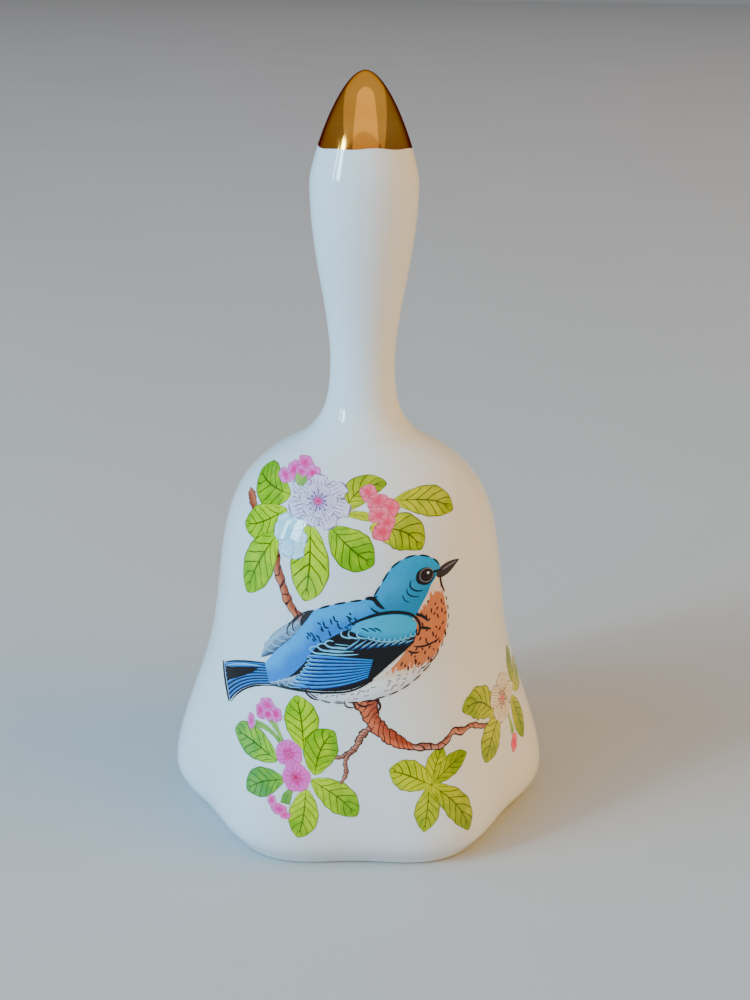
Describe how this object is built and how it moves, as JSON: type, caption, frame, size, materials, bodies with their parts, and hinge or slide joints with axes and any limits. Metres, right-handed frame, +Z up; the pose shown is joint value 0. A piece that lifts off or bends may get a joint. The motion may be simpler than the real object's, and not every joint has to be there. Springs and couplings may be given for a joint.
{
  "type": "porcelain hand bell",
  "caption": "Porcelain hand bell with a fluted skirt, a vase-shaped gilt-tipped handle, a painted bird and blossom, and a hanging clapper that swings all round.",
  "frame": {"origin": "centre of the flat rim, on the surface that the bell stands on", "axes": "+Z up through the handle, -Y towards the decorated front, +X to the right seen from the front"},
  "size_m": [0.0784, 0.0728, 0.15],
  "materials": {
    "white_glaze": "gloss",
    "gilding": "polished",
    "plaster": "matte",
    "brass": "satin"
  },
  "bodies": {
    "bell": {"bell_body": "white_glaze", "handle": "white_glaze", "gold_tip": "gilding", "neck_plug": "plaster", "hanger_bush": "brass"},
    "swivel": {"swivel_eye": "brass", "eye_washer": "brass"},
    "clapper": {"clapper_wire": "brass", "clapper_ball": "white_glaze", "washer_above_ball": "brass", "washer_below_ball": "brass", "crimp_sleeve": "brass"}
  },
  "joints": [
    {"name": "clapper_azimuth", "type": "hinge", "parent": "bell", "child": "swivel", "pos_m": [0, 0, 0.0717], "axis": [0, 0, 1], "continuous": true},
    {"name": "clapper_swing", "type": "hinge", "parent": "swivel", "child": "clapper", "pos_m": [0, 0, 0.0717], "axis": [1, 0, 0], "range_deg": [-25, 25]}
  ]
}
